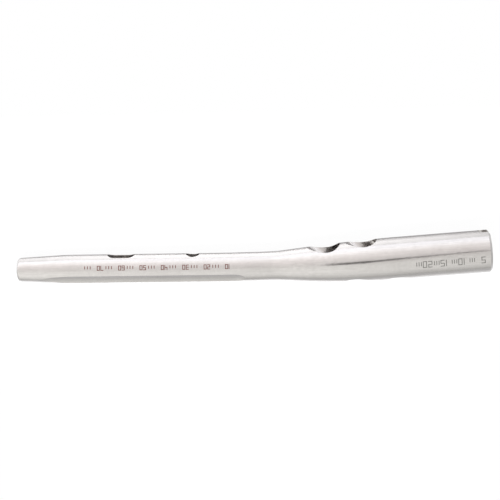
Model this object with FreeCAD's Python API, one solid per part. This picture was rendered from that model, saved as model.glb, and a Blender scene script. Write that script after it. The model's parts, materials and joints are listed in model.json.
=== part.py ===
"""A short intramedullary nail for the upper thigh bone, machined from one bar of stainless steel.

Lengths are millimetres and angles are degrees. The nail is first built along its own axis: the tip is at
s = 0, s runs along the bent centre line, +Y is the lateral side and +Z is the posterior side. It is then
laid down the way it comes to rest on a flat surface, with its posterior side up.
"""
import FreeCAD, Part
import math
import os

# Overall sizes, with the diameters of the slim shaft and of the thick head
NAIL_LENGTH = 180.0
SHAFT_DIAMETER = 11.0
HEAD_DIAMETER = 16.0

# Centre line: straight shaft, one long arc towards the lateral side, straight head
BEND_START = 72.0
STRAIGHT_HEAD_LENGTH = 42.0
BEND_ANGLE = 4.0

# Tip: a slim cone with a rounded nose that runs into the shaft
TIP_CONE_LENGTH = 19.0
TIP_CONE_HALF_ANGLE = 3.1
TIP_BLEND_RADIUS = 100.0
NOSE_RADIUS = 1.2

# Flare between the shaft and the thick head, placed by the distance from its start to the nail's end face
FLARE_TO_END = 81.1
FLARE_HALF_ANGLE = 5.2
FLARE_FOOT_RADIUS = 60.0
FLARE_CROWN_RADIUS = 400.0
FLARE_STATION_STEP = 3.5

# Two shallow milled flutes, one on each side of the medial line, which run out a little before the flare
FLUTE_TO_FLARE = 16.2
FLUTE_EDGE_LAND = 31.5
FLUTE_SPAN = 41.0
FLUTE_CROWN_RADIUS = 12.0
FLUTE_CUTTER_RADIUS = 20.0
FLUTE_CUTTER_WIDTH = 9.0

# Bore through the whole nail
CANNULA_DIAMETER = 5.4
CANNULA_MOUTH_BEVEL = 0.3

# Locking slot and locking hole of the shaft, both from side to side
SLOT_CENTRE = 39.8
SLOT_LENGTH = 10.3
SLOT_WIDTH = 5.2
LOCK_HOLE_CENTRE = 67.2
LOCK_HOLE_DIAMETER = 5.0
LOCK_MOUTH_BEVEL = 0.2

# Two oblique holes for the screws into the neck of the bone. The first is placed from the nail's end face
NECK_SHAFT_ANGLE = 135.0
NECK_HOLE_TO_END = 56.4
NECK_HOLE_DIAMETER = 9.6
HIP_HOLE_SPACING = 14.8
HIP_HOLE_DIAMETER = 9.0
NECK_MOUTH_BEVEL = 0.3

# Threaded seat and driver notch in the end of the head
SEAT_DEPTH = 5.0
SEAT_DIAMETER = 10.4
THREAD_MINOR_DIAMETER = 8.7
THREAD_DEPTH = 24.0
THREAD_CONE_ANGLE = 60.0
SEAT_BEVEL = 0.4
RIM_BEVEL = 0.8
NOTCH_WIDTH = 4.0
NOTCH_DEPTH = 4.2

# How far cutting tools reach past the surface that they cut, and how near a point must be to count as on it
OVERSHOOT = 3.0
NEAR = 0.01

# Search for the way the nail comes to rest: largest turns in degrees, rounds of narrowing, section spacing
REST_ROLL_RANGE = 45.0
REST_PITCH_RANGE = 6.0
REST_ROUNDS = 22
REST_STATION_STEP = 0.5

HALF_TURN = 180.0
SHAFT_RADIUS = SHAFT_DIAMETER / 2
HEAD_RADIUS = HEAD_DIAMETER / 2
CANNULA_RADIUS = CANNULA_DIAMETER / 2
BEND_END = NAIL_LENGTH - STRAIGHT_HEAD_LENGTH
BEND_LENGTH = BEND_END - BEND_START
BEND_RADIUS = BEND_LENGTH / math.radians(BEND_ANGLE)
BEND_CENTRE = FreeCAD.Vector(BEND_START, BEND_RADIUS, 0)
FLARE_START = NAIL_LENGTH - FLARE_TO_END
FLUTE_END = FLARE_START - FLUTE_TO_FLARE
NECK_HOLE_CENTRE = NAIL_LENGTH - NECK_HOLE_TO_END
X_AXIS = FreeCAD.Vector(1, 0, 0)
Y_AXIS = FreeCAD.Vector(0, 1, 0)
Z_AXIS = FreeCAD.Vector(0, 0, 1)


def turned(s):
    """Angle in degrees by which the centre line has turned at s."""
    within = min(max(s - BEND_START, 0.0), BEND_LENGTH)
    return BEND_ANGLE * within / BEND_LENGTH


def axis_direction(s):
    """Unit tangent of the centre line at s, towards the head."""
    angle = math.radians(turned(s))
    return FreeCAD.Vector(math.cos(angle), math.sin(angle), 0)


def axis_point(s):
    """Point of the centre line at s: a line, then an arc, then a line."""
    if s <= BEND_START:
        return FreeCAD.Vector(s, 0, 0)
    angle = math.radians(turned(s))
    point = BEND_CENTRE + FreeCAD.Vector(math.sin(angle), -math.cos(angle), 0) * BEND_RADIUS
    return point + axis_direction(s) * max(s - BEND_END, 0.0)


def at_station(shape, s):
    """A shape built round the X axis at the origin, moved to station s of the centre line."""
    placed = shape.copy()
    placed.Placement = FreeCAD.Placement(axis_point(s), FreeCAD.Rotation(Z_AXIS, turned(s))) * shape.Placement
    return placed


def along(face, start, end):
    """A face in the plane of the tip, carried along the centre line from start to end."""
    pieces = []
    straight = min(end, BEND_START) - start
    if straight > 0:
        pieces.append(at_station(face, start).extrude(X_AXIS * straight))
    bent = turned(end) - turned(start)
    if bent > 0:
        first = at_station(face, max(start, BEND_START))
        pieces.append(first.revolve(BEND_CENTRE, Z_AXIS, bent))
    last = end - max(start, BEND_END)
    if last > 0:
        pieces.append(at_station(face, max(start, BEND_END)).extrude(axis_direction(BEND_END) * last))
    return pieces[0].multiFuse(pieces[1:]).removeSplitter() if len(pieces) > 1 else pieces[0]


def disc(radius):
    """A round face across the X axis."""
    circle = Part.makeCircle(radius, FreeCAD.Vector(0, 0, 0), X_AXIS)
    return Part.Face(Part.Wire(circle))


def corner_blend(distance, half_angle, radius):
    """Sideways reach, at a distance along the axis from a corner, of an arc that rounds it off.

    The corner joins a line along the axis to a line at half_angle. The arc touches the first line one
    tangent length before the corner, and rises by distance squared over twice the radius from there.
    """
    tangent = radius * math.tan(math.radians(half_angle) / 2)
    past = distance + tangent
    if past <= 0:
        return 0.0
    if past < radius * math.sin(math.radians(half_angle)):
        return radius - math.sqrt(radius ** 2 - past ** 2)
    return distance * math.tan(math.radians(half_angle))


FLARE_END = FLARE_START + (HEAD_RADIUS - SHAFT_RADIUS) / math.tan(math.radians(FLARE_HALF_ANGLE))
FLARE_CROWN_TANGENT = FLARE_CROWN_RADIUS * math.tan(math.radians(FLARE_HALF_ANGLE) / 2)
FLARE_FOOT_TANGENT = FLARE_FOOT_RADIUS * math.tan(math.radians(FLARE_HALF_ANGLE) / 2)


def outer_radius(s):
    """Radius of the outside at s, with the rounded nose and the bevelled rim."""
    if s < (TIP_CONE_LENGTH + FLARE_START) / 2:
        radius = SHAFT_RADIUS - corner_blend(TIP_CONE_LENGTH - s, TIP_CONE_HALF_ANGLE, TIP_BLEND_RADIUS)
    elif s < (FLARE_START + FLARE_END) / 2:
        radius = SHAFT_RADIUS + corner_blend(s - FLARE_START, FLARE_HALF_ANGLE, FLARE_FOOT_RADIUS)
    else:
        radius = HEAD_RADIUS - corner_blend(FLARE_END - s, FLARE_HALF_ANGLE, FLARE_CROWN_RADIUS)
    from_tip = NOSE_RADIUS - s
    if from_tip > 0:
        radius -= NOSE_RADIUS - math.sqrt(NOSE_RADIUS ** 2 - from_tip ** 2)
    return radius - max(RIM_BEVEL - (NAIL_LENGTH - s), 0.0)


def turned_solid(outline):
    """A closed outline in the XY plane, given as edges, spun round the X axis."""
    face = Part.Face(Part.Wire(outline))
    return face.revolve(FreeCAD.Vector(0, 0, 0), X_AXIS, 360)


def line(x1, y1, x2, y2):
    """A straight edge of an outline in the XY plane."""
    return Part.LineSegment(FreeCAD.Vector(x1, y1, 0), FreeCAD.Vector(x2, y2, 0)).toShape()


def arc(x1, y1, xm, ym, x2, y2):
    """A round edge of an outline in the XY plane, through its middle point."""
    points = [FreeCAD.Vector(x1, y1, 0), FreeCAD.Vector(xm, ym, 0), FreeCAD.Vector(x2, y2, 0)]
    return Part.Arc(*points).toShape()


def tip_solid():
    """The shaft's straight end: nose, cone, blend and plain cylinder up to the start of the bend."""
    tangent = TIP_BLEND_RADIUS * math.tan(math.radians(TIP_CONE_HALF_ANGLE) / 2)
    cone_slope = math.tan(math.radians(TIP_CONE_HALF_ANGLE))
    cone_end = TIP_CONE_LENGTH - tangent * math.cos(math.radians(TIP_CONE_HALF_ANGLE))
    blend_end = TIP_CONE_LENGTH + tangent
    blend_middle = (cone_end + blend_end) / 2
    nose_turn = math.radians(90 - TIP_CONE_HALF_ANGLE)
    face_radius = (SHAFT_RADIUS - TIP_CONE_LENGTH * cone_slope) - NOSE_RADIUS * math.tan(nose_turn / 2)
    nose_centre = face_radius
    nose_end_x = NOSE_RADIUS - NOSE_RADIUS * math.sin(math.radians(TIP_CONE_HALF_ANGLE))
    nose_end_y = nose_centre + NOSE_RADIUS * math.cos(math.radians(TIP_CONE_HALF_ANGLE))
    nose_mid_x = NOSE_RADIUS - NOSE_RADIUS * math.cos(nose_turn / 2)
    nose_mid_y = nose_centre + NOSE_RADIUS * math.sin(nose_turn / 2)
    cone_end_y = SHAFT_RADIUS - (TIP_CONE_LENGTH - cone_end) * cone_slope
    middle_drop = TIP_BLEND_RADIUS - math.sqrt(TIP_BLEND_RADIUS ** 2 - (blend_end - blend_middle) ** 2)
    outline = [
        line(0, 0, 0, face_radius),
        arc(0, face_radius, nose_mid_x, nose_mid_y, nose_end_x, nose_end_y),
        line(nose_end_x, nose_end_y, cone_end, cone_end_y),
        arc(cone_end, cone_end_y, blend_middle, SHAFT_RADIUS - middle_drop, blend_end, SHAFT_RADIUS),
        line(blend_end, SHAFT_RADIUS, BEND_START, SHAFT_RADIUS),
        line(BEND_START, SHAFT_RADIUS, BEND_START, 0),
        line(BEND_START, 0, 0, 0),
    ]
    return turned_solid(outline)


def flare_solid(start, end):
    """The flare: round sections along the centre line, joined by one smooth skin."""
    count = max(6, round((end - start) / FLARE_STATION_STEP))
    sections = []
    for index in range(count + 1):
        s = start + (end - start) * index / count
        circle = Part.makeCircle(outer_radius(s), axis_point(s), axis_direction(s))
        sections.append(Part.Wire(circle))
    return Part.makeLoft(sections, True, False)


def head_solid(start):
    """The thick straight end with its bevelled rim."""
    length = NAIL_LENGTH - start
    outline = [
        line(0, 0, 0, HEAD_RADIUS),
        line(0, HEAD_RADIUS, length - RIM_BEVEL, HEAD_RADIUS),
        line(length - RIM_BEVEL, HEAD_RADIUS, length, HEAD_RADIUS - RIM_BEVEL),
        line(length, HEAD_RADIUS - RIM_BEVEL, length, 0),
        line(length, 0, 0, 0),
    ]
    return at_station(turned_solid(outline), start)


def blank():
    """The outside of the nail before anything is cut."""
    foot = FLARE_START - FLARE_FOOT_TANGENT
    crown = max(FLARE_END + FLARE_CROWN_TANGENT, BEND_END)
    body = tip_solid()
    body = body.fuse(along(disc(SHAFT_RADIUS), BEND_START, foot))
    body = body.fuse(flare_solid(foot, crown))
    body = body.fuse(head_solid(crown))
    return body.removeSplitter()


def flute_cutter(side):
    """The milling cutter's whole sweep for one flute; side is 1 for posterior and -1 for anterior.

    Its section is a crowned tooth. The crown's edges meet the shaft's skin half the flute's span away
    from its middle, so its depth follows from the shaft's radius.
    """
    half_chord = SHAFT_RADIUS * math.sin(math.radians(FLUTE_SPAN / 2))
    chord_height = SHAFT_RADIUS * math.cos(math.radians(FLUTE_SPAN / 2))
    crown_rise = FLUTE_CROWN_RADIUS - math.sqrt(FLUTE_CROWN_RADIUS ** 2 - half_chord ** 2)
    floor = chord_height - crown_rise
    half_width = FLUTE_CUTTER_WIDTH / 2
    side_height = floor + FLUTE_CROWN_RADIUS - math.sqrt(FLUTE_CROWN_RADIUS ** 2 - half_width ** 2)
    axle = floor + FLUTE_CUTTER_RADIUS
    tooth = Part.Face(Part.Wire([
        Part.Arc(FreeCAD.Vector(0, side_height, -half_width), FreeCAD.Vector(0, floor, 0),
                 FreeCAD.Vector(0, side_height, half_width)).toShape(),
        Part.LineSegment(FreeCAD.Vector(0, side_height, half_width),
                         FreeCAD.Vector(0, axle, half_width)).toShape(),
        Part.LineSegment(FreeCAD.Vector(0, axle, half_width),
                         FreeCAD.Vector(0, axle, -half_width)).toShape(),
        Part.LineSegment(FreeCAD.Vector(0, axle, -half_width),
                         FreeCAD.Vector(0, side_height, -half_width)).toShape(),
    ]))
    wheel = tooth.revolve(FreeCAD.Vector(0, axle, 0), Z_AXIS, 360)
    medial_turn = side * (HALF_TURN - FLUTE_EDGE_LAND - FLUTE_SPAN / 2)
    turn = FreeCAD.Rotation(X_AXIS, medial_turn)
    for shape in (tooth, wheel):
        shape.Placement = FreeCAD.Placement(FreeCAD.Vector(0, 0, 0), turn)
    return along(tooth, -OVERSHOOT, FLUTE_END).fuse(at_station(wheel, FLUTE_END))


def cross_bore(radius, centre, direction, reach):
    """A cylinder along direction, centred on a point and reaching as far both ways."""
    return Part.makeCylinder(radius, 2 * reach, centre - direction * reach, direction)


def slot_cutter():
    """The locking slot's stadium, cut from side to side."""
    travel = SLOT_LENGTH - SLOT_WIDTH
    reach = SHAFT_RADIUS + OVERSHOOT
    radius = SLOT_WIDTH / 2
    low = cross_bore(radius, axis_point(SLOT_CENTRE - travel / 2), Y_AXIS, reach)
    high = cross_bore(radius, axis_point(SLOT_CENTRE + travel / 2), Y_AXIS, reach)
    corner = axis_point(SLOT_CENTRE) - FreeCAD.Vector(travel / 2, reach, radius)
    return low.fuse(high).fuse(Part.makeBox(travel, 2 * reach, SLOT_WIDTH, corner)).removeSplitter()


def lateral(s):
    """Unit vector across the nail at s, towards the lateral side."""
    turn = math.radians(turned(s))
    return FreeCAD.Vector(-math.sin(turn), math.cos(turn), 0)


def neck_direction():
    """Unit vector of the neck screws, from the lateral side towards the head and the medial side."""
    tilt = math.radians(HALF_TURN - NECK_SHAFT_ANGLE)
    return X_AXIS * math.cos(tilt) - Y_AXIS * math.sin(tilt)


def neck_bore(s, diameter):
    """An oblique screw hole whose axis crosses the centre line at s."""
    reach = 2 * HEAD_RADIUS + OVERSHOOT
    return cross_bore(diameter / 2, axis_point(s), neck_direction(), reach)


def locking_bore():
    """The round locking hole of the shaft."""
    direction = lateral(LOCK_HOLE_CENTRE)
    reach = SHAFT_RADIUS + OVERSHOOT
    return cross_bore(LOCK_HOLE_DIAMETER / 2, axis_point(LOCK_HOLE_CENTRE), direction, reach)


def cannula():
    """The bore through the nail, with a small bevel where it leaves the nose."""
    bore = along(disc(CANNULA_RADIUS), -OVERSHOOT, NAIL_LENGTH - SEAT_DEPTH)
    mouth = CANNULA_RADIUS + CANNULA_MOUTH_BEVEL
    bevel = Part.makeCone(mouth, CANNULA_RADIUS, CANNULA_MOUTH_BEVEL, FreeCAD.Vector(0, 0, 0), X_AXIS)
    return bore.fuse(bevel)


def head_socket():
    """Seat, tapped bore and the cone where it narrows to the cannula, as one turned cutter."""
    seat = SEAT_DIAMETER / 2
    tapped = THREAD_MINOR_DIAMETER / 2
    cone = (tapped - CANNULA_RADIUS) / math.tan(math.radians(THREAD_CONE_ANGLE))
    bottom = -THREAD_DEPTH
    outline = [
        line(bottom - cone, 0, bottom - cone, CANNULA_RADIUS),
        line(bottom - cone, CANNULA_RADIUS, bottom, tapped),
        line(bottom, tapped, -SEAT_DEPTH - (seat - tapped), tapped),
        line(-SEAT_DEPTH - (seat - tapped), tapped, -SEAT_DEPTH, seat),
        line(-SEAT_DEPTH, seat, -SEAT_BEVEL, seat),
        line(-SEAT_BEVEL, seat, OVERSHOOT, seat + SEAT_BEVEL + OVERSHOOT),
        line(OVERSHOOT, seat + SEAT_BEVEL + OVERSHOOT, OVERSHOOT, 0),
        line(OVERSHOOT, 0, bottom - cone, 0),
    ]
    return at_station(turned_solid(outline), NAIL_LENGTH)


def notch_cutter():
    """The driver's notch in the lateral side of the rim, with a round floor."""
    radius = NOTCH_WIDTH / 2
    length = NOTCH_DEPTH - radius + OVERSHOOT
    reach = HEAD_RADIUS + OVERSHOOT
    floor = Part.makeCylinder(radius, reach, FreeCAD.Vector(radius - NOTCH_DEPTH, 0, 0), Y_AXIS)
    walls = Part.makeBox(length, reach, NOTCH_WIDTH, FreeCAD.Vector(radius - NOTCH_DEPTH, 0, -radius))
    return at_station(floor.fuse(walls).removeSplitter(), NAIL_LENGTH)


def axis_distance(point):
    """Distance of a point from the centre line."""
    turn = math.degrees(math.atan2(point.x - BEND_CENTRE.x, BEND_CENTRE.y - point.y))
    if turn <= 0:
        return math.hypot(point.y, point.z)
    if turn < BEND_ANGLE:
        across = math.hypot(point.x - BEND_CENTRE.x, point.y - BEND_CENTRE.y) - BEND_RADIUS
        return math.hypot(across, point.z)
    direction = axis_direction(BEND_END)
    past = point - axis_point(BEND_END)
    return (past - direction * past.dot(direction)).Length


def mouth_edges(body, bore):
    """Edges where a bore's wall leaves the outside of the nail."""
    wall = bore.Shells[0]
    outside = (CANNULA_RADIUS + SHAFT_RADIUS) / 2
    found = []
    for edge in body.Edges:
        middle = edge.valueAt((edge.FirstParameter + edge.LastParameter) / 2)
        points = [edge.Vertexes[0].Point, middle, edge.Vertexes[-1].Point]
        if min(axis_distance(point) for point in points) < outside:
            continue
        if max(wall.distToShape(Part.Vertex(point))[0] for point in points) < NEAR:
            found.append(edge)
    return found


def nail():
    """The finished nail along its own axis."""
    body = blank()
    body = body.cut(flute_cutter(1)).cut(flute_cutter(-1))
    openings = [
        (slot_cutter(), LOCK_MOUTH_BEVEL),
        (locking_bore(), LOCK_MOUTH_BEVEL),
        (neck_bore(NECK_HOLE_CENTRE, NECK_HOLE_DIAMETER), NECK_MOUTH_BEVEL),
        (neck_bore(NECK_HOLE_CENTRE + HIP_HOLE_SPACING, HIP_HOLE_DIAMETER), NECK_MOUTH_BEVEL),
    ]
    for bore, bevel in openings:
        body = body.cut(bore)
    body = body.cut(cannula()).cut(head_socket()).cut(notch_cutter()).removeSplitter()
    for bore, bevel in openings:
        body = body.makeChamfer(bevel, mouth_edges(body, bore))
    return body.Solids[0]


def depth_into_flute(angle, radius):
    """How far an angle from the medial line lies inside a flute, from the flute's nearer edge."""
    chord_height = SHAFT_RADIUS * math.cos(math.radians(FLUTE_SPAN / 2))
    if radius <= chord_height:
        return 0.0
    half_span = math.acos(chord_height / radius)
    middle = math.radians(FLUTE_EDGE_LAND + FLUTE_SPAN / 2)
    return max(half_span - abs(abs(angle) - middle), 0.0)


def lowest(height, span):
    """The turn between -span and span at which height(turn) is least, by narrowing to its golden section."""
    golden = (math.sqrt(5) - 1) / 2
    low, high = -span, span
    for attempt in range(REST_ROUNDS):
        near_low = high - golden * (high - low)
        near_high = low + golden * (high - low)
        if height(near_low) < height(near_high):
            high = near_high
        else:
            low = near_low
    return (low + high) / 2


def resting_turn(body):
    """The rotation that lays the nail down the way it comes to rest, posterior side up.

    At rest the centre of mass is as low as it can be. Its height above the floor is the largest reach
    below it of any section: the section's own depth below the centre of mass, plus its radius times the
    sine of the angle between the centre line and the vertical. Where the floor faces a flute, the
    flute's nearer edge touches it, and the radius is shortened by the cosine of the angle to that edge.
    """
    centre = body.CenterOfMass
    count = round(NAIL_LENGTH / REST_STATION_STEP)
    sections = []
    for index in range(count + 1):
        s = NAIL_LENGTH * index / count
        sections.append((centre - axis_point(s), axis_direction(s), lateral(s), outer_radius(s), s < FLUTE_END))

    def rotation(roll, pitch):
        return FreeCAD.Rotation(Y_AXIS, pitch) * FreeCAD.Rotation(X_AXIS, roll)

    def height(roll, pitch):
        up = rotation(roll, pitch).inverted().multVec(Z_AXIS)
        highest = 0.0
        for offset, tangent, side, radius, fluted in sections:
            reach = radius * math.sqrt(1 - tangent.dot(up) ** 2)
            if fluted:
                reach *= math.cos(depth_into_flute(math.atan2(up.z, up.dot(side)), radius))
            highest = max(highest, offset.dot(up) + reach)
        return highest

    pitch = {}

    def lowest_pitch_height(roll):
        pitch[roll] = lowest(lambda turn: height(roll, turn), REST_PITCH_RANGE)
        return height(roll, pitch[roll])

    roll = lowest(lowest_pitch_height, REST_ROLL_RANGE)
    lowest_pitch_height(roll)
    return rotation(roll, pitch[roll])


def laid_down(body):
    """The nail at rest, with the middle of its lowest level at the origin."""
    resting = body.copy()
    resting.Placement = FreeCAD.Placement(FreeCAD.Vector(0, 0, 0), resting_turn(body))
    box = resting.optimalBoundingBox(False, False)
    resting.Placement.Base = FreeCAD.Vector(-box.Center.x, -box.Center.y, -box.ZMin)
    return resting


os.makedirs("parts", exist_ok=True)
laid_down(nail()).exportStep("parts/nail_body.step")
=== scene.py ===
"""A short steel intramedullary nail, lying on a white table in a photo studio. Lengths are metres."""

import json
import math

import bmesh
import bpy
import numpy as np
from mathutils import Matrix, Vector


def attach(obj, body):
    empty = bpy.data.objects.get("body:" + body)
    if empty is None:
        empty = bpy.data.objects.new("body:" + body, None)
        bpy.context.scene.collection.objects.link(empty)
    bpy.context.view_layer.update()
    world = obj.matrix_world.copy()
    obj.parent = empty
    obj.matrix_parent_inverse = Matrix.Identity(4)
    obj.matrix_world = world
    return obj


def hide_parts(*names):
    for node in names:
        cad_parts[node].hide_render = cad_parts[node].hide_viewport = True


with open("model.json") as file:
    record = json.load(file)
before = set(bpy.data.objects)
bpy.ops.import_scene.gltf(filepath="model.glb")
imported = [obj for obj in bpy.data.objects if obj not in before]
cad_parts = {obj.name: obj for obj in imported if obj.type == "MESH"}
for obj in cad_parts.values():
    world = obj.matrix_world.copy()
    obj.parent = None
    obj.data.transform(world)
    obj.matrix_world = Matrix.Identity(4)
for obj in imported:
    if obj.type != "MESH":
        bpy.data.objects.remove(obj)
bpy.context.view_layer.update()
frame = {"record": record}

MM = 0.001
MOUNTS = {mount["name"]: mount for mount in frame["record"]["mounts"]}

NAIL_LENGTH = 180 * MM


def axis_of(name):
    """The unit vector of a mount's axis."""
    return Vector(MOUNTS[name]["axis"]).normalized()


def place_of(name):
    """The point that a mount stands at, in metres."""
    return Vector(MOUNTS[name]["pos_m"])


# Where the nail lies: its tip, and its own directions along the shaft, to its lateral and posterior side.
# They follow from the locking hole, which is square to the shaft and in the plane of the bend, and the head.
LATERAL = axis_of("distal_locking_hole_lateral")
POSTERIOR = axis_of("end_thread").cross(LATERAL).normalized()
ALONG = LATERAL.cross(POSTERIOR).normalized()
LOCK_HOLE_CENTRE = 67.2 * MM
LOCK_WALL_MIDDLE = 3.16 * MM
TIP = place_of("distal_locking_hole_lateral") - LATERAL * LOCK_WALL_MIDDLE - ALONG * LOCK_HOLE_CENTRE


def nail_point(along, lateral, posterior):
    """A point given in the nail's own frame, tip at the origin, in the row's frame."""
    return TIP + ALONG * along + LATERAL * lateral + POSTERIOR * posterior


# Plain scales in the place of the lettering: a digit's bars, by their ends, and which bars each digit has
BARS = {"a": ((0, 1), (1, 1)), "b": ((1, 1), (1, 0.5)), "c": ((1, 0.5), (1, 0)), "d": ((0, 0), (1, 0)),
        "e": ((0, 0), (0, 0.5)), "f": ((0, 0.5), (0, 1)), "g": ((0, 0.5), (1, 0.5))}
DIGIT_BARS = ("abcdef", "bc", "abged", "abgcd", "fgbc", "afgcd", "afgecd", "abc", "abcdefg", "abcdfg")
DIGIT_WIDTH = 0.52
DIGIT_GAP = 0.32
TICKS = 3
TICK_START = 0.6
TICK_STEP = 0.13
TICK_FOOT = 0.1
TICK_TOP = 0.65
STROKE_STEPS = 7
STROKE_WIDTH = 0.30 * MM
MARK_RISE = 0.012 * MM
SHAFT_MARK_HEIGHT = 1.6 * MM
SHAFT_MARK_END = 82 * MM
SHAFT_MARK_MIDDLE = math.radians(74)
SHAFT_MARK_SPACING = 8.1 * MM
SHAFT_MARK_NUMBERS = (10, 20, 30, 40, 50, 60, 70)
SHAFT_MARK_COLOUR = (0.235, 0.125, 0.112, 1)
HEAD_MARK_HEIGHT = 2.4 * MM
HEAD_MARK_END = 177 * MM
HEAD_MARK_MIDDLE = math.radians(101)
HEAD_MARK_SPACING = 6.6 * MM
HEAD_MARK_NUMBERS = (5, 10, 15, 20)
HEAD_MARK_COLOUR = (0.24, 0.235, 0.225, 1)
MARK_ROUGHNESS = 0.4

# Steel: its darkest and lightest shade, how often the brush marks repeat along and across the nail, and the
# clouds and the grain everywhere, and how far each of them shifts the shade, the polish and the surface
STEEL_DARK = (0.58, 0.555, 0.54, 1)
STEEL_LIGHT = (0.74, 0.715, 0.70, 1)
BRUSH_SCALE = (50, 2000, 2000)
CLOUD_SCALE = 120
GRAIN_SCALE = 700
BRUSH_SHADE = 0.9
CLOUD_SHADE = 0.5
GRAIN_SHADE = 0.5
POLISH_ROUGHNESS = 0.15
BRUSH_ROUGHNESS = 0.05
CLOUD_ROUGHNESS = 0.03
BRUSH_BUMP = {"Strength": 0.3, "Distance": 0.02 * MM}
GRAIN_BUMP = {"Strength": 0.5, "Distance": 0.05 * MM}
SMOOTH_ANGLE = math.radians(32)

# Studio: the table, the lamp over the nail that lights the table on the lateral side but not the steel, and
# the dark card over the head. The card's course, the room's levels and its tints were fitted to how the
# photo's steel looks, by trial renders.
TABLE_X = (-0.6, 0.6)
TABLE_Y = (-0.6, 0.055)
TABLE_SHADE = (0.632, 0.64, 0.655, 1)
TABLE_GLOW = 1.06
TABLE_GLOW_SHARE = 0.88
TABLE_SINK = 0.02 * MM
TABLE_LAMP_POWER = 0.15
TABLE_LAMP_PLACE = (-0.01, -0.02, 0.06)
TABLE_LAMP_TARGET = (-0.01, 0.05, 0)
TABLE_LAMP_SIZE = (0.19, 0.03)
TABLE_LAMP_SPREAD = math.radians(150)
CARD_HEIGHT = 100 * MM
CARD_LEVEL = 0.02
# The card's course, in millimetres: stations along the nail, how far it lies medially there, its half width
CARD_STATIONS = (107, 126, 155, 170, 183, 197, 215)
CARD_MEDIAL = (18.0, 16.0, 7.0, 2.5, -2.0, -3.0, -3.0)
CARD_HALF_WIDTHS = (9.4, 9.4, 5.0, 3.8, 2.8, 2.2, 1.4)

# The room's brightness by how far a direction leans from straight up to the lateral side, in degrees. It
# also falls towards the head and rises towards the tip, as far as the reach on each side.
ROOM_TOP_LEVEL = 1.6
ROOM_MIDDLE = 0.99
ROOM_FALL = 0.55
ROOM_FALL_REACH = 0.25
ROOM_LEVELS = ((-90, 0.59), (-76, 0.75), (-68, 0.85), (-60, 0.93), (-53, 0.99), (-31, 1.02), (-8, 0.97),
               (5, 0.90), (19, 0.88), (34, 0.95), (45, 1.05), (53, 1.13), (64, 1.29), (74, 1.44), (84, 1.48),
               (90, 1.48))

# The room's tint at some of those directions: its red, green and blue
ROOM_TINT_TURNS = (-90, -9, 5, 40, 53, 70, 88)
ROOM_TINTS = ((0.995, 1.0, 0.98), (1.0, 1.0, 0.978), (1.01, 0.995, 0.975), (1.03, 0.99, 0.985),
              (1.02, 0.99, 0.985), (1.0, 0.99, 1.0), (0.978, 0.99, 1.036))

# Camera: where it stands over the nail, and the pixel of a 500 pixel frame at which the nail's middle shows
CAMERA_DISTANCE = 520 * MM
CAMERA_LEAN_ALONG = math.radians(2.0)
CAMERA_LEAN_LATERAL = math.radians(13.0)
CAMERA_ROLL = math.radians(0.744)
CAMERA_FOCUS_PIXELS = 1365.9
CAMERA_SENSOR = 36.0
CAMERA_CLIP = (10 * MM, 20)
FRAME_PIXELS = 500
AIM_ALONG = 90 * MM
AIM_LATERAL = 2 * MM
AIM_PIXEL = (252.79, 261.82)


def place_camera():
    """The camera at the photograph's angle, over the nail's posterior side."""
    sideways = POSTERIOR * math.cos(CAMERA_LEAN_LATERAL) + LATERAL * math.sin(CAMERA_LEAN_LATERAL)
    back = ALONG * math.sin(CAMERA_LEAN_ALONG) + sideways * math.cos(CAMERA_LEAN_ALONG)
    flat_right = (ALONG - back * ALONG.dot(back)).normalized()
    flat_up = back.cross(flat_right)
    right = flat_right * math.cos(CAMERA_ROLL) - flat_up * math.sin(CAMERA_ROLL)
    up = flat_right * math.sin(CAMERA_ROLL) + flat_up * math.cos(CAMERA_ROLL)
    pixel = CAMERA_DISTANCE / CAMERA_FOCUS_PIXELS
    across = (AIM_PIXEL[0] - FRAME_PIXELS / 2) * pixel
    down = (AIM_PIXEL[1] - FRAME_PIXELS / 2) * pixel
    data = bpy.data.cameras.new("camera")
    data.sensor_width = CAMERA_SENSOR
    data.lens = CAMERA_FOCUS_PIXELS / FRAME_PIXELS * CAMERA_SENSOR
    data.clip_start, data.clip_end = CAMERA_CLIP
    camera = bpy.data.objects.new("camera", data)
    bpy.context.collection.objects.link(camera)
    axes = Matrix((right, up, back)).transposed().to_4x4()
    place = nail_point(AIM_ALONG, AIM_LATERAL, 0) + back * CAMERA_DISTANCE - right * across + up * down
    camera.matrix_world = Matrix.Translation(place) @ axes
    bpy.context.scene.camera = camera


# Sizes of the nail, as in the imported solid
SHAFT_RADIUS = 5.5 * MM
HEAD_RADIUS = 8.0 * MM
BEND_START = 72 * MM
BEND_END = 138 * MM
BEND_ANGLE = math.radians(4.0)
BEND_LENGTH = BEND_END - BEND_START
BEND_RADIUS = BEND_LENGTH / BEND_ANGLE
TIP_CONE_LENGTH = 19 * MM
TIP_CONE_SLOPE = math.tan(math.radians(3.1))
TIP_BLEND_RADIUS = 100 * MM
NOSE_RADIUS = 1.2 * MM
FLARE_START = 98.9 * MM
FLARE_SLOPE = math.tan(math.radians(5.2))
FLARE_FOOT_RADIUS = 60 * MM
FLARE_CROWN_RADIUS = 400 * MM
FLARE_END = FLARE_START + (HEAD_RADIUS - SHAFT_RADIUS) / FLARE_SLOPE
RIM_BEVEL = 0.8 * MM
FLUTE_END = 82.7 * MM
FLUTE_MIDDLE = math.radians(180 - 31.5 - 20.5)
FLUTE_SPAN = math.radians(41)
FLUTE_CROWN_RADIUS = 12 * MM
FLUTE_CUTTER_RADIUS = 20 * MM
FLUTE_HALF_WIDTH = 4.5 * MM
FLUTE_WHEEL_TURN = math.radians(40)
CANNULA_RADIUS = 2.7 * MM
CANNULA_BEVEL = 0.3 * MM
STRAIGHT_BORE_REACH = 9 * MM
OBLIQUE_BORE_REACH = 24 * MM
SLOT_CENTRE = 39.8 * MM
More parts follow.
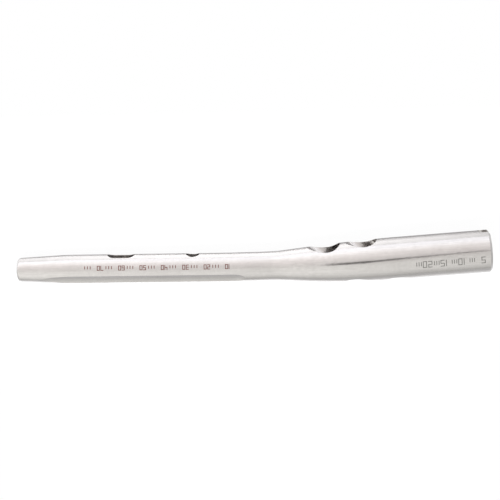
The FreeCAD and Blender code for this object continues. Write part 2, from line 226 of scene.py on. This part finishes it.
SLOT_HALF_TRAVEL = 2.55 * MM
SLOT_RADIUS = 2.6 * MM
LOCK_HOLE_RADIUS = 2.5 * MM
NECK_HOLE_CENTRE = 123.6 * MM
NECK_HOLE_RADIUS = 4.8 * MM
HIP_HOLE_CENTRE = 138.4 * MM
HIP_HOLE_RADIUS = 4.5 * MM
LOCK_LIP = 0.25 * MM
NECK_LIP = 0.35 * MM
SEAT_RADIUS = 5.2 * MM
SEAT_DEPTH = 5 * MM
SEAT_BEVEL = 0.4 * MM
TAPPED_RADIUS = 4.35 * MM
TAPPED_DEPTH = 24 * MM
TAPPED_CONE_ANGLE = math.radians(60)
THREAD_PITCH = 1.25 * MM
THREAD_HEIGHT = 0.62 * MM
THREAD_STEPS = 14
THREAD_CREST = 0.80
THREAD_FLANK = 0.62
THREAD_RUN_OUT = 0.6
THREAD_END_GAP = 0.02 * MM
NOTCH_HALF_WIDTH = 2.0 * MM
NOTCH_DEPTH = 4.2 * MM
OVERSHOOT = 3 * MM
CUTTER_OVERSHOOT = 1 * MM

# How finely the nail is divided: rings along it and points round each
NOSE_RINGS = 9
SKIN_START = 1.6
SKIN_END = 179
SKIN_STEP = 0.6
SKIN_SIDES = 160
FLUTE_RINGS = 60
FLUTE_WHEEL_RINGS = 24
FLUTE_WIDTH_POINTS = 41
CANNULA_RINGS = 130
CANNULA_FIRST_RING = 2 * MM
CANNULA_LAST_GAP = 1 * MM
BORE_SIDES = 96
LOCK_HOLE_SIDES = 72
NOTCH_POINTS = 25

# The rounded lips of the mouths: points round a lip, how far its edge stands off the skin as a share of its
# length, and how far the cutter goes on past it, outwards and sideways
LIP_POINTS = 7
LIP_RISE = 0.02
LIP_CLEAR = 1.5 * MM
LIP_SPREAD = 0.3 * MM
MOUTH_HALVINGS = 40
NORMAL_STEP = 0.01 * MM


def axis_turn(s):
    """How far the centre line has turned at s: nothing, then evenly along the bend, then the whole angle."""
    return np.clip((s - BEND_START) / BEND_LENGTH, 0, 1) * BEND_ANGLE


def axis_point(s):
    """The centre line at s in the nail's frame: a line, then an arc of one radius, then a line."""
    turn = axis_turn(s)
    past = np.maximum(s - BEND_END, 0)
    x = np.minimum(s, BEND_START) + BEND_RADIUS * np.sin(turn) + past * np.cos(turn)
    y = BEND_RADIUS * (1 - np.cos(turn)) + past * np.sin(turn)
    return np.stack([x, y, np.zeros_like(x)], axis=-1)


def axis_frame(s):
    """The centre line's direction at s, and the directions to its lateral and to its posterior side."""
    turn = axis_turn(s)
    zero, one = np.zeros_like(turn), np.ones_like(turn)
    along = np.stack([np.cos(turn), np.sin(turn), zero], axis=-1)
    side = np.stack([-np.sin(turn), np.cos(turn), zero], axis=-1)
    return along, side, np.stack([zero, zero, one], axis=-1)


def round_corner(distance, slope, radius):
    """Sideways reach past a corner that an arc rounds off: none, then the arc, then distance times slope."""
    half_angle = math.atan(slope)
    past = distance + radius * math.tan(half_angle / 2)
    on_arc = radius - np.sqrt(np.maximum(radius ** 2 - np.clip(past, 0, radius) ** 2, 0))
    reach = np.where(past < radius * math.sin(half_angle), on_arc, distance * slope)
    return np.where(past <= 0, 0, reach)


def outer_radius(s):
    """The outside's radius at s: tip cone, shaft, flare, head, with a rounded nose and a bevelled rim."""
    tip = SHAFT_RADIUS - round_corner(TIP_CONE_LENGTH - s, TIP_CONE_SLOPE, TIP_BLEND_RADIUS)
    foot = SHAFT_RADIUS + round_corner(s - FLARE_START, FLARE_SLOPE, FLARE_FOOT_RADIUS)
    crown = HEAD_RADIUS - round_corner(FLARE_END - s, FLARE_SLOPE, FLARE_CROWN_RADIUS)
    middle = (FLARE_START + FLARE_END) / 2
    radius = np.where(s < (TIP_CONE_LENGTH + FLARE_START) / 2, tip, np.where(s < middle, foot, crown))
    from_tip = np.clip(NOSE_RADIUS - s, 0, NOSE_RADIUS)
    nose = NOSE_RADIUS - np.sqrt(NOSE_RADIUS ** 2 - from_tip ** 2)
    return radius - nose - np.clip(RIM_BEVEL - (NAIL_LENGTH - s), 0, RIM_BEVEL)


def station_of(points):
    """The station of points near the nail, and their offset from the centre line to its lateral side."""
    x, y = points[..., 0], points[..., 1]
    turn = np.clip(np.arctan2(x - BEND_START, BEND_RADIUS - y), 0, BEND_ANGLE)
    straight = x < BEND_START
    end = axis_point(np.full_like(x, BEND_END))
    past = ((points - end) * axis_frame(np.full_like(x, BEND_END))[0]).sum(-1)
    s = np.where(straight, x, np.where(past > 0, BEND_END + past, BEND_START + turn * BEND_RADIUS))
    offset = ((points - axis_point(s)) * axis_frame(s)[1]).sum(-1)
    return s, offset


def flute_crown(across):
    """Rise of the flute's crowned floor at a distance across from its middle."""
    return FLUTE_CROWN_RADIUS - np.sqrt(FLUTE_CROWN_RADIUS ** 2 - across ** 2)


FLUTE_FLOOR = SHAFT_RADIUS * math.cos(FLUTE_SPAN / 2) - flute_crown(SHAFT_RADIUS * math.sin(FLUTE_SPAN / 2))


def flute_height(s, across):
    """Height of the flute's floor over the centre line: level, then rising as the cutter's wheel leaves."""
    past = np.clip(s - FLUTE_END, 0, FLUTE_CUTTER_RADIUS)
    wheel = FLUTE_CUTTER_RADIUS - flute_crown(across)
    return FLUTE_FLOOR + FLUTE_CUTTER_RADIUS - np.sqrt(np.maximum(wheel ** 2 - past ** 2, 0))


def above_skin(points):
    """How far points stand out of the nail's skin: out of the round outside, or in one of the flutes."""
    s, offset = station_of(points)
    z = points[..., 2]
    out = np.hypot(offset, z) - outer_radius(s)
    for side in (1, -1):
        middle = side * FLUTE_MIDDLE
        height = offset * math.cos(middle) + z * math.sin(middle)
        across = z * math.cos(middle) - offset * math.sin(middle)
        in_flute = height - flute_height(s, np.clip(across, -FLUTE_HALF_WIDTH, FLUTE_HALF_WIDTH))
        out = np.where(s < FLUTE_END + FLUTE_CUTTER_RADIUS, np.maximum(out, in_flute), out)
    return out


def skin_normal(points):
    """The skin's outward direction at points: the steepest way out, from small steps each way."""
    slopes = []
    for direction in np.eye(3):
        small = direction * NORMAL_STEP
        slopes.append(above_skin(points + small) - above_skin(points - small))
    normal = np.stack(slopes, axis=-1)
    return normal / np.linalg.norm(normal, axis=-1, keepdims=True)


def to_row_frame(points):
    """Points of the nail's frame, moved to where the nail lies."""
    axes = np.array([ALONG, LATERAL, POSTERIOR])
    return points @ axes + np.array(TIP)


def closed_mesh(name, rings):
    """A closed mesh of rings of points: rows by places round the ring by 3, with a face over each end."""
    rows, count = rings.shape[:2]
    index = np.arange(rows * count).reshape(rows, count)
    after = np.roll(index, -1, axis=1)
    sides = np.stack([index[:-1], index[1:], after[1:], after[:-1]], axis=-1).reshape(-1, 4)
    faces = sides.tolist() + [index[0].tolist(), index[-1][::-1].tolist()]
    mesh = bpy.data.meshes.new(name)
    mesh.from_pydata(to_row_frame(rings.reshape(-1, 3)).tolist(), [], faces)
    work = bmesh.new()
    work.from_mesh(mesh)
    bmesh.ops.recalc_face_normals(work, faces=work.faces)
    work.to_mesh(mesh)
    work.free()
    made = bpy.data.objects.new(name, mesh)
    bpy.context.collection.objects.link(made)
    return made


def turned_rings(s, radius, angle):
    """Rings round the centre line: the point at s, plus radius times the direction at each angle."""
    side, up = axis_frame(s)[1:]
    reach = side[:, None] * np.cos(angle)[..., None] + up[:, None] * np.sin(angle)[..., None]
    return axis_point(s)[:, None] + reach * radius[..., None]


def skin_rings():
    """The nail's outside: rings at close stations, closer round the nose and the rim."""
    nose = NOSE_RADIUS * (1 - np.cos(np.linspace(0, math.pi / 2, NOSE_RINGS)))
    length = np.arange(SKIN_START, SKIN_END, SKIN_STEP) * MM
    s = np.concatenate([nose, length, [NAIL_LENGTH - RIM_BEVEL, NAIL_LENGTH]])
    angle = np.linspace(0, 2 * math.pi, SKIN_SIDES, endpoint=False)[None]
    return turned_rings(s, outer_radius(s)[:, None] + 0 * angle, angle)


def flute_rings(side):
    """One flute's cutter: its crowned tooth along the shaft, then the rising wheel."""
    past = FLUTE_CUTTER_RADIUS * np.sin(np.linspace(0, FLUTE_WHEEL_TURN, FLUTE_WHEEL_RINGS))
    s = np.concatenate([np.linspace(-OVERSHOOT, FLUTE_END, FLUTE_RINGS)[:-1], FLUTE_END + past])
    across = np.linspace(-FLUTE_HALF_WIDTH, FLUTE_HALF_WIDTH, FLUTE_WIDTH_POINTS)
    floor = flute_height(s[:, None], across[None])
    top = np.full((len(s), 2), FLUTE_FLOOR + FLUTE_CUTTER_RADIUS)
    height = np.concatenate([floor, top], axis=1)
    width = np.concatenate([across, [FLUTE_HALF_WIDTH, -FLUTE_HALF_WIDTH]])[None]
    middle = side * FLUTE_MIDDLE
    offset = height * math.cos(middle) - width * math.sin(middle)
    raised = height * math.sin(middle) + width * math.cos(middle)
    lateral, up = axis_frame(s)[1:]
    return axis_point(s)[:, None] + lateral[:, None] * offset[..., None] + up[:, None] * raised[..., None]


def thread_wave(turns):
    """The thread's profile over one turn, from 0 at the crest to 1 at the root: a wide crest, two flanks."""
    place = np.abs((turns % 1) - 0.5) * 2
    return np.clip((THREAD_CREST - place) / THREAD_FLANK, 0, 1)


def channel_rings():
    """The bore through the nail: cannula with a bevelled mouth, cone, tapped bore and seat.

    The tapped stretch adds the thread's height times its wave, which climbs one pitch for each turn.
    """
    cone = (TAPPED_RADIUS - CANNULA_RADIUS) / math.tan(TAPPED_CONE_ANGLE)
    step = SEAT_RADIUS - TAPPED_RADIUS
    bottom = NAIL_LENGTH - TAPPED_DEPTH
    top = NAIL_LENGTH - SEAT_DEPTH - step
    threaded = np.arange(bottom + THREAD_END_GAP, top - THREAD_END_GAP, THREAD_PITCH / THREAD_STEPS)
    mouth = CANNULA_RADIUS + CANNULA_BEVEL
    places = [(-OVERSHOOT, mouth + OVERSHOOT), (0, mouth), (CANNULA_BEVEL, CANNULA_RADIUS)]
    inner = np.linspace(CANNULA_FIRST_RING, bottom - cone - CANNULA_LAST_GAP, CANNULA_RINGS)
    places += [(s, CANNULA_RADIUS) for s in inner]
    places += [(bottom - cone, CANNULA_RADIUS)]
    places += [(s, TAPPED_RADIUS) for s in threaded]
    places += [(top, TAPPED_RADIUS), (top + step, SEAT_RADIUS), (NAIL_LENGTH - SEAT_BEVEL, SEAT_RADIUS)]
    places += [(NAIL_LENGTH, SEAT_RADIUS + SEAT_BEVEL)]
    places += [(NAIL_LENGTH + CUTTER_OVERSHOOT, SEAT_RADIUS + SEAT_BEVEL + CUTTER_OVERSHOOT)]
    s, radius = np.array(places).T
    angle = np.linspace(0, 2 * math.pi, BORE_SIDES, endpoint=False)[None]
    turns = s[:, None] / THREAD_PITCH - angle / (2 * math.pi)
    run_in = np.clip((s - bottom) / THREAD_PITCH, 0, 1)
    run_out = np.clip((top - s) / (THREAD_RUN_OUT * THREAD_PITCH), 0, 1)
    cut = THREAD_HEIGHT * thread_wave(turns) * (run_in * run_out)[:, None]
    return turned_rings(s, radius[:, None] + cut, angle)


def stadium(half_travel, radius, count):
    """A long round hole's outline and its outward directions, evenly spread round its two half circles."""
    angle = np.linspace(0, 2 * math.pi, count, endpoint=False)
    outward = np.stack([np.cos(angle), np.sin(angle)], axis=-1)
    shift = np.where(outward[:, :1] >= 0, half_travel, -half_travel) * np.array([[1, 0]])
    return outward * radius + shift, outward


def mouth_depth(start, direction, reach):
    """How far along direction each ray leaves the nail, found by halving the stretch between in and out."""
    low, high = np.zeros(len(start)), np.full(len(start), reach)
    for _ in range(MOUTH_HALVINGS):
        middle = (low + high) / 2
        out = above_skin(start + direction * middle[:, None]) > 0
        high = np.where(out, middle, high)
        low = np.where(out, low, middle)
    return (low + high) / 2


def lip_rows(start, outward, direction, reach, lip):
    """The rows of a bore's wall at one mouth, from the wall out over the lip to clear of the nail.

    At the mouth point M the lip bends from A, one lip's length down the wall, to B, one lip's length along
    the skin: (1 - u) squared A, plus 2 u (1 - u) M, plus u squared B.
    """
    mouth = start + direction * mouth_depth(start, direction, reach)[:, None]
    normal = skin_normal(mouth)
    edge = np.roll(mouth, -1, axis=0) - np.roll(mouth, 1, axis=0)
    edge /= np.linalg.norm(edge, axis=-1, keepdims=True)
    away = np.cross(edge, normal)
    away *= np.sign((away * outward).sum(-1, keepdims=True))
    low, high = mouth - direction * lip, mouth + away * lip + normal * LIP_RISE * lip
    u = np.linspace(0, 1, LIP_POINTS)[:, None, None]
    bend = (1 - u) ** 2 * low + 2 * u * (1 - u) * mouth + u ** 2 * high
    far = ((high - start) @ direction).max() + LIP_CLEAR
    level = high + outward * LIP_SPREAD
    clear = level + direction * (far - ((level - start) @ direction))[:, None]
    return np.concatenate([bend, clear[None]])


def bore_rings(station, outline, outward, direction, long_axis, reach, lip):
    """A bore across the nail: its outline carried along a direction, with a rounded lip at both mouths."""
    other = np.cross(direction, long_axis)
    centre = axis_point(np.array(station))
    start = centre + outline[:, :1] * long_axis + outline[:, 1:] * other
    away = outward[:, :1] * long_axis + outward[:, 1:] * other
    first = lip_rows(start, away, direction, reach, lip)
    last = lip_rows(start, away, -direction, reach, lip)
    return np.concatenate([last[::-1], first])


def notch_rings():
    """The driver's notch in the rim: a round-bottomed channel, carried outwards to the lateral side."""
    along, side, up = (axis[0] for axis in axis_frame(np.array([NAIL_LENGTH])))
    end = axis_point(np.array([NAIL_LENGTH]))[0]
    angle = np.linspace(math.pi / 2, 3 * math.pi / 2, NOTCH_POINTS)
    floor = np.cos(angle) * NOTCH_HALF_WIDTH + NOTCH_HALF_WIDTH - NOTCH_DEPTH
    x = np.concatenate([floor, [OVERSHOOT, OVERSHOOT]])
    z = np.concatenate([np.sin(angle) * NOTCH_HALF_WIDTH, [-NOTCH_HALF_WIDTH, NOTCH_HALF_WIDTH]])
    outline = end + x[:, None] * along + z[:, None] * up
    return np.stack([outline, outline + side * (HEAD_RADIUS + OVERSHOOT)])


def cut_away(body, cutter):
    """Cuts one closed mesh out of another."""
    step = body.modifiers.new("cut", "BOOLEAN")
    step.operation = "DIFFERENCE"
    step.solver = "MANIFOLD"
    step.object = cutter
    graph = bpy.context.evaluated_depsgraph_get()
    result = bpy.data.meshes.new_from_object(body.evaluated_get(graph))
    body.modifiers.clear()
    body.data = result
    bpy.data.objects.remove(cutter)


def nail_body(material):
    """The nail: its turned outside, with the flutes, the bores, the channel and the notch cut out of it."""
    body = closed_mesh("nail", skin_rings())
    along, side, up = (axis[0] for axis in axis_frame(np.array([0.0])))
    neck = (along - side) / math.sqrt(2)
    straight = (side, along, STRAIGHT_BORE_REACH, LOCK_LIP)
    oblique = (neck, up, OBLIQUE_BORE_REACH, NECK_LIP)
    cuts = [flute_rings(1), flute_rings(-1)]
    cuts.append(bore_rings(SLOT_CENTRE, *stadium(SLOT_HALF_TRAVEL, SLOT_RADIUS, BORE_SIDES), *straight))
    cuts.append(bore_rings(LOCK_HOLE_CENTRE, *stadium(0, LOCK_HOLE_RADIUS, LOCK_HOLE_SIDES), *straight))
    cuts.append(bore_rings(NECK_HOLE_CENTRE, *stadium(0, NECK_HOLE_RADIUS, BORE_SIDES), *oblique))
    cuts.append(bore_rings(HIP_HOLE_CENTRE, *stadium(0, HIP_HOLE_RADIUS, BORE_SIDES), *oblique))
    cuts.append(channel_rings())
    cuts.append(notch_rings())
    for rings in cuts:
        cut_away(body, closed_mesh("cutter", rings))
    body.data.materials.clear()
    body.data.materials.append(material)
    body.data.shade_smooth()
    body.data.set_sharp_from_angle(angle=SMOOTH_ANGLE)
    return body


class Socket:
    """A value in a material. Arithmetic on it adds the Math nodes that work it out."""

    def __init__(self, shader, link):
        self.shader = shader
        self.link = link

    def math(self, operation, *others):
        inputs = {index: value for index, value in enumerate((self, *others))}
        return self.shader.node("ShaderNodeMath", {"operation": operation}, inputs)[0]

    def __add__(self, other):
        return self.math("ADD", other)

    __radd__ = __add__

    def __sub__(self, other):
        return self.math("SUBTRACT", other)

    def __rsub__(self, other):
        return (self * -1) + other

    def __mul__(self, other):
        return self.math("MULTIPLY", other)

    __rmul__ = __mul__

    def __truediv__(self, other):
        return self.math("DIVIDE", other)


class Outputs:
    """The outputs of one node, found by number or by name."""

    def __init__(self, shader, node):
        self.shader = shader
        self.node = node

    def __getitem__(self, key):
        return Socket(self.shader, self.node.outputs[key])


class Shader:
    """The nodes of one material or of the world."""

    def __init__(self, owner):
        owner.use_nodes = True
        self.tree = owner.node_tree
        self.tree.nodes.clear()

    def node(self, kind, settings=None, inputs=None):
        """Adds a node: its settings are set first, then the values or links of its sockets."""
        made = self.tree.nodes.new(kind)
        for name, value in (settings or {}).items():
            if name == "stops":
                self.set_stops(made.color_ramp, value)
            else:
                setattr(made, name, value)
        for key, value in (inputs or {}).items():
            if isinstance(value, Socket):
                self.tree.links.new(value.link, made.inputs[key])
            else:
                made.inputs[key].default_value = value
        return Outputs(self, made)

    def set_stops(self, ramp, stops):
        """Gives a colour ramp its stops, each a place and a colour."""
        while len(ramp.elements) < len(stops):
            ramp.elements.new(0.5)
        for element, (place, colour) in zip(ramp.elements, stops):
            element.position = place
            element.color = colour

    def mix(self, factor, first, second):
        """A colour between two others."""
        settings = {"data_type": "RGBA", "blend_type": "MIX"}
        made = self.node("ShaderNodeMix", settings, {0: factor, 6: first, 7: second})
        return made[2]


def grey(value):
    """A neutral colour of one linear value."""
    return (value, value, value, 1)


def steel_material():
    """Brushed stainless steel: fine lines along the nail, faint clouds and a fine grain, satin polish."""
    material = bpy.data.materials.new("brushed_implant_steel")
    shader = Shader(material)
    place = shader.node("ShaderNodeTexCoord")["Object"]
    stretched = shader.node("ShaderNodeMapping", None, {"Vector": place, "Scale": BRUSH_SCALE})[0]
    lines = shader.node("ShaderNodeTexNoise", None, {
        "Vector": stretched, "Scale": 1, "Detail": 3, "Roughness": 0.6})[0]
    clouds = shader.node("ShaderNodeTexNoise", None, {"Vector": place, "Scale": CLOUD_SCALE, "Detail": 3})[0]
    grain = shader.node("ShaderNodeTexNoise", None, {"Vector": place, "Scale": GRAIN_SCALE, "Detail": 2})[0]
    shade = (lines - 0.5) * BRUSH_SHADE + (clouds - 0.5) * CLOUD_SHADE + (grain - 0.5) * GRAIN_SHADE + 0.5
    colour = shader.mix(shade, STEEL_DARK, STEEL_LIGHT)
    roughness = POLISH_ROUGHNESS + lines * BRUSH_ROUGHNESS + clouds * CLOUD_ROUGHNESS
    brushed = shader.node("ShaderNodeBump", None, {"Height": lines, **BRUSH_BUMP})[0]
    bump = shader.node("ShaderNodeBump", None, {"Height": grain, **GRAIN_BUMP, "Normal": brushed})[0]
    surface = shader.node("ShaderNodeBsdfPrincipled", None, {
        "Base Color": colour, "Metallic": 1.0, "Roughness": roughness, "Normal": bump})[0]
    shader.node("ShaderNodeOutputMaterial", None, {"Surface": surface})
    return material


def table_material():
    """The white table: white to the eye, a pale grey to the light, and it keeps the nail's soft shadow."""
    material = bpy.data.materials.new("white_table")
    shader = Shader(material)
    seen = shader.node("ShaderNodeLightPath")["Is Camera Ray"]
    matt = shader.node("ShaderNodeBsdfDiffuse", None, {"Color": TABLE_SHADE})[0]
    glow = shader.node("ShaderNodeEmission", None, {"Color": grey(1.0), "Strength": TABLE_GLOW})[0]
    surface = shader.node("ShaderNodeMixShader", None, {0: seen * TABLE_GLOW_SHARE, 1: matt, 2: glow})[0]
    shader.node("ShaderNodeOutputMaterial", None, {"Surface": surface})
    return material


def grid_mesh(name, points, material):
    """A mesh object of a grid of points, rows by columns by 3."""
    rows, columns = points.shape[:2]
    index = np.arange(rows * columns).reshape(rows, columns)
    corners = np.stack([index[:-1, :-1], index[:-1, 1:], index[1:, 1:], index[1:, :-1]], axis=-1)
    mesh = bpy.data.meshes.new(name)
    mesh.from_pydata(points.reshape(-1, 3).tolist(), [], corners.reshape(-1, 4).tolist())
    mesh.materials.append(material)
    made = bpy.data.objects.new(name, mesh)
    bpy.context.collection.objects.link(made)
    return made


def table_top():
    """The table top: a flat square at the level that the nail lies on."""
    x, y = np.meshgrid(np.linspace(*TABLE_X, 3), np.linspace(*TABLE_Y, 3))
    points = np.stack([x, y, np.full_like(x, -TABLE_SINK)], axis=-1)
    return grid_mesh("table_top", points, table_material())


def soft_box(name, place, target, width, height, strength):
    """A rectangular lamp that faces a point."""
    data = bpy.data.lights.new(name, "AREA")
    data.shape = "RECTANGLE"
    data.size = width
    data.size_y = height
    data.energy = strength
    lamp = bpy.data.objects.new(name, data)
    bpy.context.collection.objects.link(lamp)
    lamp.location = place
    lamp.rotation_mode = "QUATERNION"
    lamp.rotation_quaternion = (Vector(target) - Vector(place)).to_track_quat("-Z", "Y")
    return lamp


def room_colour(turn, level):
    """A brightness of the room with the tint that it has in one direction."""
    tint = [float(np.interp(turn, ROOM_TINT_TURNS, channel)) for channel in zip(*ROOM_TINTS)]
    return (level * tint[0], level * tint[1], level * tint[2], 1)


def studio_world():
    """The room: white to the eye. To the nail it is brightest low down on the lateral side."""
    world = bpy.data.worlds.new("studio")
    bpy.context.scene.world = world
    shader = Shader(world)
    seen = shader.node("ShaderNodeLightPath")["Is Camera Ray"]
    direction = shader.node("ShaderNodeTexCoord")["Generated"]
    parts = shader.node("ShaderNodeSeparateXYZ", None, {0: direction})
    lean = parts[1].math("ARCTAN2", parts[2]) / math.pi + 0.5
    stops = [(0.5 + turn / 180, room_colour(turn, level / ROOM_TOP_LEVEL)) for turn, level in ROOM_LEVELS]
    room = shader.node("ShaderNodeValToRGB", {"stops": stops}, {0: lean})[0]
    headwards = parts[0].math("MAXIMUM", -ROOM_FALL_REACH).math("MINIMUM", ROOM_FALL_REACH)
    strength = (headwards * -ROOM_FALL + ROOM_MIDDLE) * ROOM_TOP_LEVEL
    dim = shader.node("ShaderNodeBackground", None, {"Color": room, "Strength": strength})[0]
    white = shader.node("ShaderNodeBackground", None, {"Color": grey(1.0), "Strength": 1.0})[0]
    surface = shader.node("ShaderNodeMixShader", None, {0: seen, 1: dim, 2: white})[0]
    shader.node("ShaderNodeOutputWorld", None, {"Surface": surface})


def dark_card():
    """A narrow dark card over the head, which only shows as a line in the polish."""
    material = bpy.data.materials.new("dark_card")
    shader = Shader(material)
    glow = shader.node("ShaderNodeEmission", None, {"Color": grey(1.0), "Strength": CARD_LEVEL})[0]
    shader.node("ShaderNodeOutputMaterial", None, {"Surface": glow})
    s = np.array(CARD_STATIONS) * MM
    lean = CAMERA_LEAN_LATERAL
    upward = np.array([0, math.sin(lean), math.cos(lean)]) * CARD_HEIGHT
    sideways = np.array([0, math.cos(lean), -math.sin(lean)])
    medial, half_width = np.array(CARD_MEDIAL) * MM, np.array(CARD_HALF_WIDTHS) * MM
    offsets = np.stack([-medial - half_width, -medial + half_width], axis=-1)
    points = axis_point(s)[:, None] + upward + sideways * offsets[..., None]
    card = grid_mesh("dark_card", to_row_frame(points), material)
    card.visible_camera = False
    card.visible_diffuse = False
    card.visible_shadow = False
    return card


def mark_material(name, colour):
    """A laser mark: a thin dull oxide."""
    material = bpy.data.materials.new(name)
    shader = Shader(material)
    surface = shader.node("ShaderNodeBsdfPrincipled", None, {
        "Base Color": colour, "Metallic": 1.0, "Roughness": MARK_ROUGHNESS})[0]
    shader.node("ShaderNodeOutputMaterial", None, {"Surface": surface})
    return material


def scale_strokes(numbers, spacing, height):
    """The strokes of a scale, each from a start to an end: plain numerals, with short ticks after each.

    A numeral is made of the seven bars of a counter's digit, and a tick is a bar across the line.
    """
    width = height * DIGIT_WIDTH
    strokes = []
    for place, number in enumerate(numbers):
        left = place * spacing
        for digit in str(number):
            for bar in DIGIT_BARS[int(digit)]:
                (x0, y0), (x1, y1) = BARS[bar]
                strokes.append(((left + x0 * width, y0 * height), (left + x1 * width, y1 * height)))
            left += width + height * DIGIT_GAP
        for tick in range(TICKS):
            x = place * spacing + spacing * (TICK_START + TICK_STEP * tick)
            strokes.append(((x, height * TICK_FOOT), (x, height * TICK_TOP)))
    return np.array(strokes)


def scale_marks(name, strokes, last_station, middle, height, material):
    """Marks on the skin: strokes on a flat line, wrapped round the nail so that it reads from the head.

    A flat point x along and y up goes to the station last_station - x, and round the nail from the middle
    by the angle (y - height / 2) over the radius there.
    """
    start, end = strokes[:, None, 0], strokes[:, None, 1]
    length = np.linalg.norm(end - start, axis=-1, keepdims=True)
    direction = (end - start) / length
    normal = np.stack([-direction[..., 1], direction[..., 0]], axis=-1) * STROKE_WIDTH / 2
    steps = np.linspace(0, 1, STROKE_STEPS)[None, :, None]
    reach = direction * STROKE_WIDTH / 2
    line = (start - reach) + (end - start + 2 * reach) * steps
    flat = np.stack([line - normal, line + normal], axis=2)
    s = last_station - flat[..., 0]
    angle = middle + (flat[..., 1] - height / 2) / outer_radius(s)
    side, up = axis_frame(s)[1:]
    radius = outer_radius(s)[..., None] + MARK_RISE
    points = axis_point(s) + (side * np.cos(angle)[..., None] + up * np.sin(angle)[..., None]) * radius
    count = len(strokes)
    index = np.arange(count * STROKE_STEPS * 2).reshape(count, STROKE_STEPS, 2)
    corners = np.stack([index[:, :-1, 0], index[:, :-1, 1], index[:, 1:, 1], index[:, 1:, 0]], axis=-1)
    mesh = bpy.data.meshes.new(name)
    mesh.from_pydata(to_row_frame(points.reshape(-1, 3)).tolist(), [], corners.reshape(-1, 4).tolist())
    mesh.materials.append(material)
    marks = bpy.data.objects.new(name, mesh)
    bpy.context.collection.objects.link(marks)
    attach(marks, "root")
    return marks


nail = nail_body(steel_material())
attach(nail, "root")
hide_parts("nail_body")
shaft_strokes = scale_strokes(SHAFT_MARK_NUMBERS, SHAFT_MARK_SPACING, SHAFT_MARK_HEIGHT)
scale_marks("shaft_marks", shaft_strokes, SHAFT_MARK_END, SHAFT_MARK_MIDDLE, SHAFT_MARK_HEIGHT,
            mark_material("brown_mark", SHAFT_MARK_COLOUR))
head_strokes = scale_strokes(HEAD_MARK_NUMBERS, HEAD_MARK_SPACING, HEAD_MARK_HEIGHT)
scale_marks("head_marks", head_strokes, HEAD_MARK_END, HEAD_MARK_MIDDLE, HEAD_MARK_HEIGHT,
            mark_material("grey_mark", HEAD_MARK_COLOUR))
table_top()
place_camera()
studio_world()
dark_card()
table_lamp = soft_box("table_lamp", TABLE_LAMP_PLACE, TABLE_LAMP_TARGET, *TABLE_LAMP_SIZE, TABLE_LAMP_POWER)
table_lamp.data.spread = TABLE_LAMP_SPREAD
table_lamp.visible_glossy = False
table_lamp.visible_camera = False
bpy.context.scene.view_settings.view_transform = "Standard"
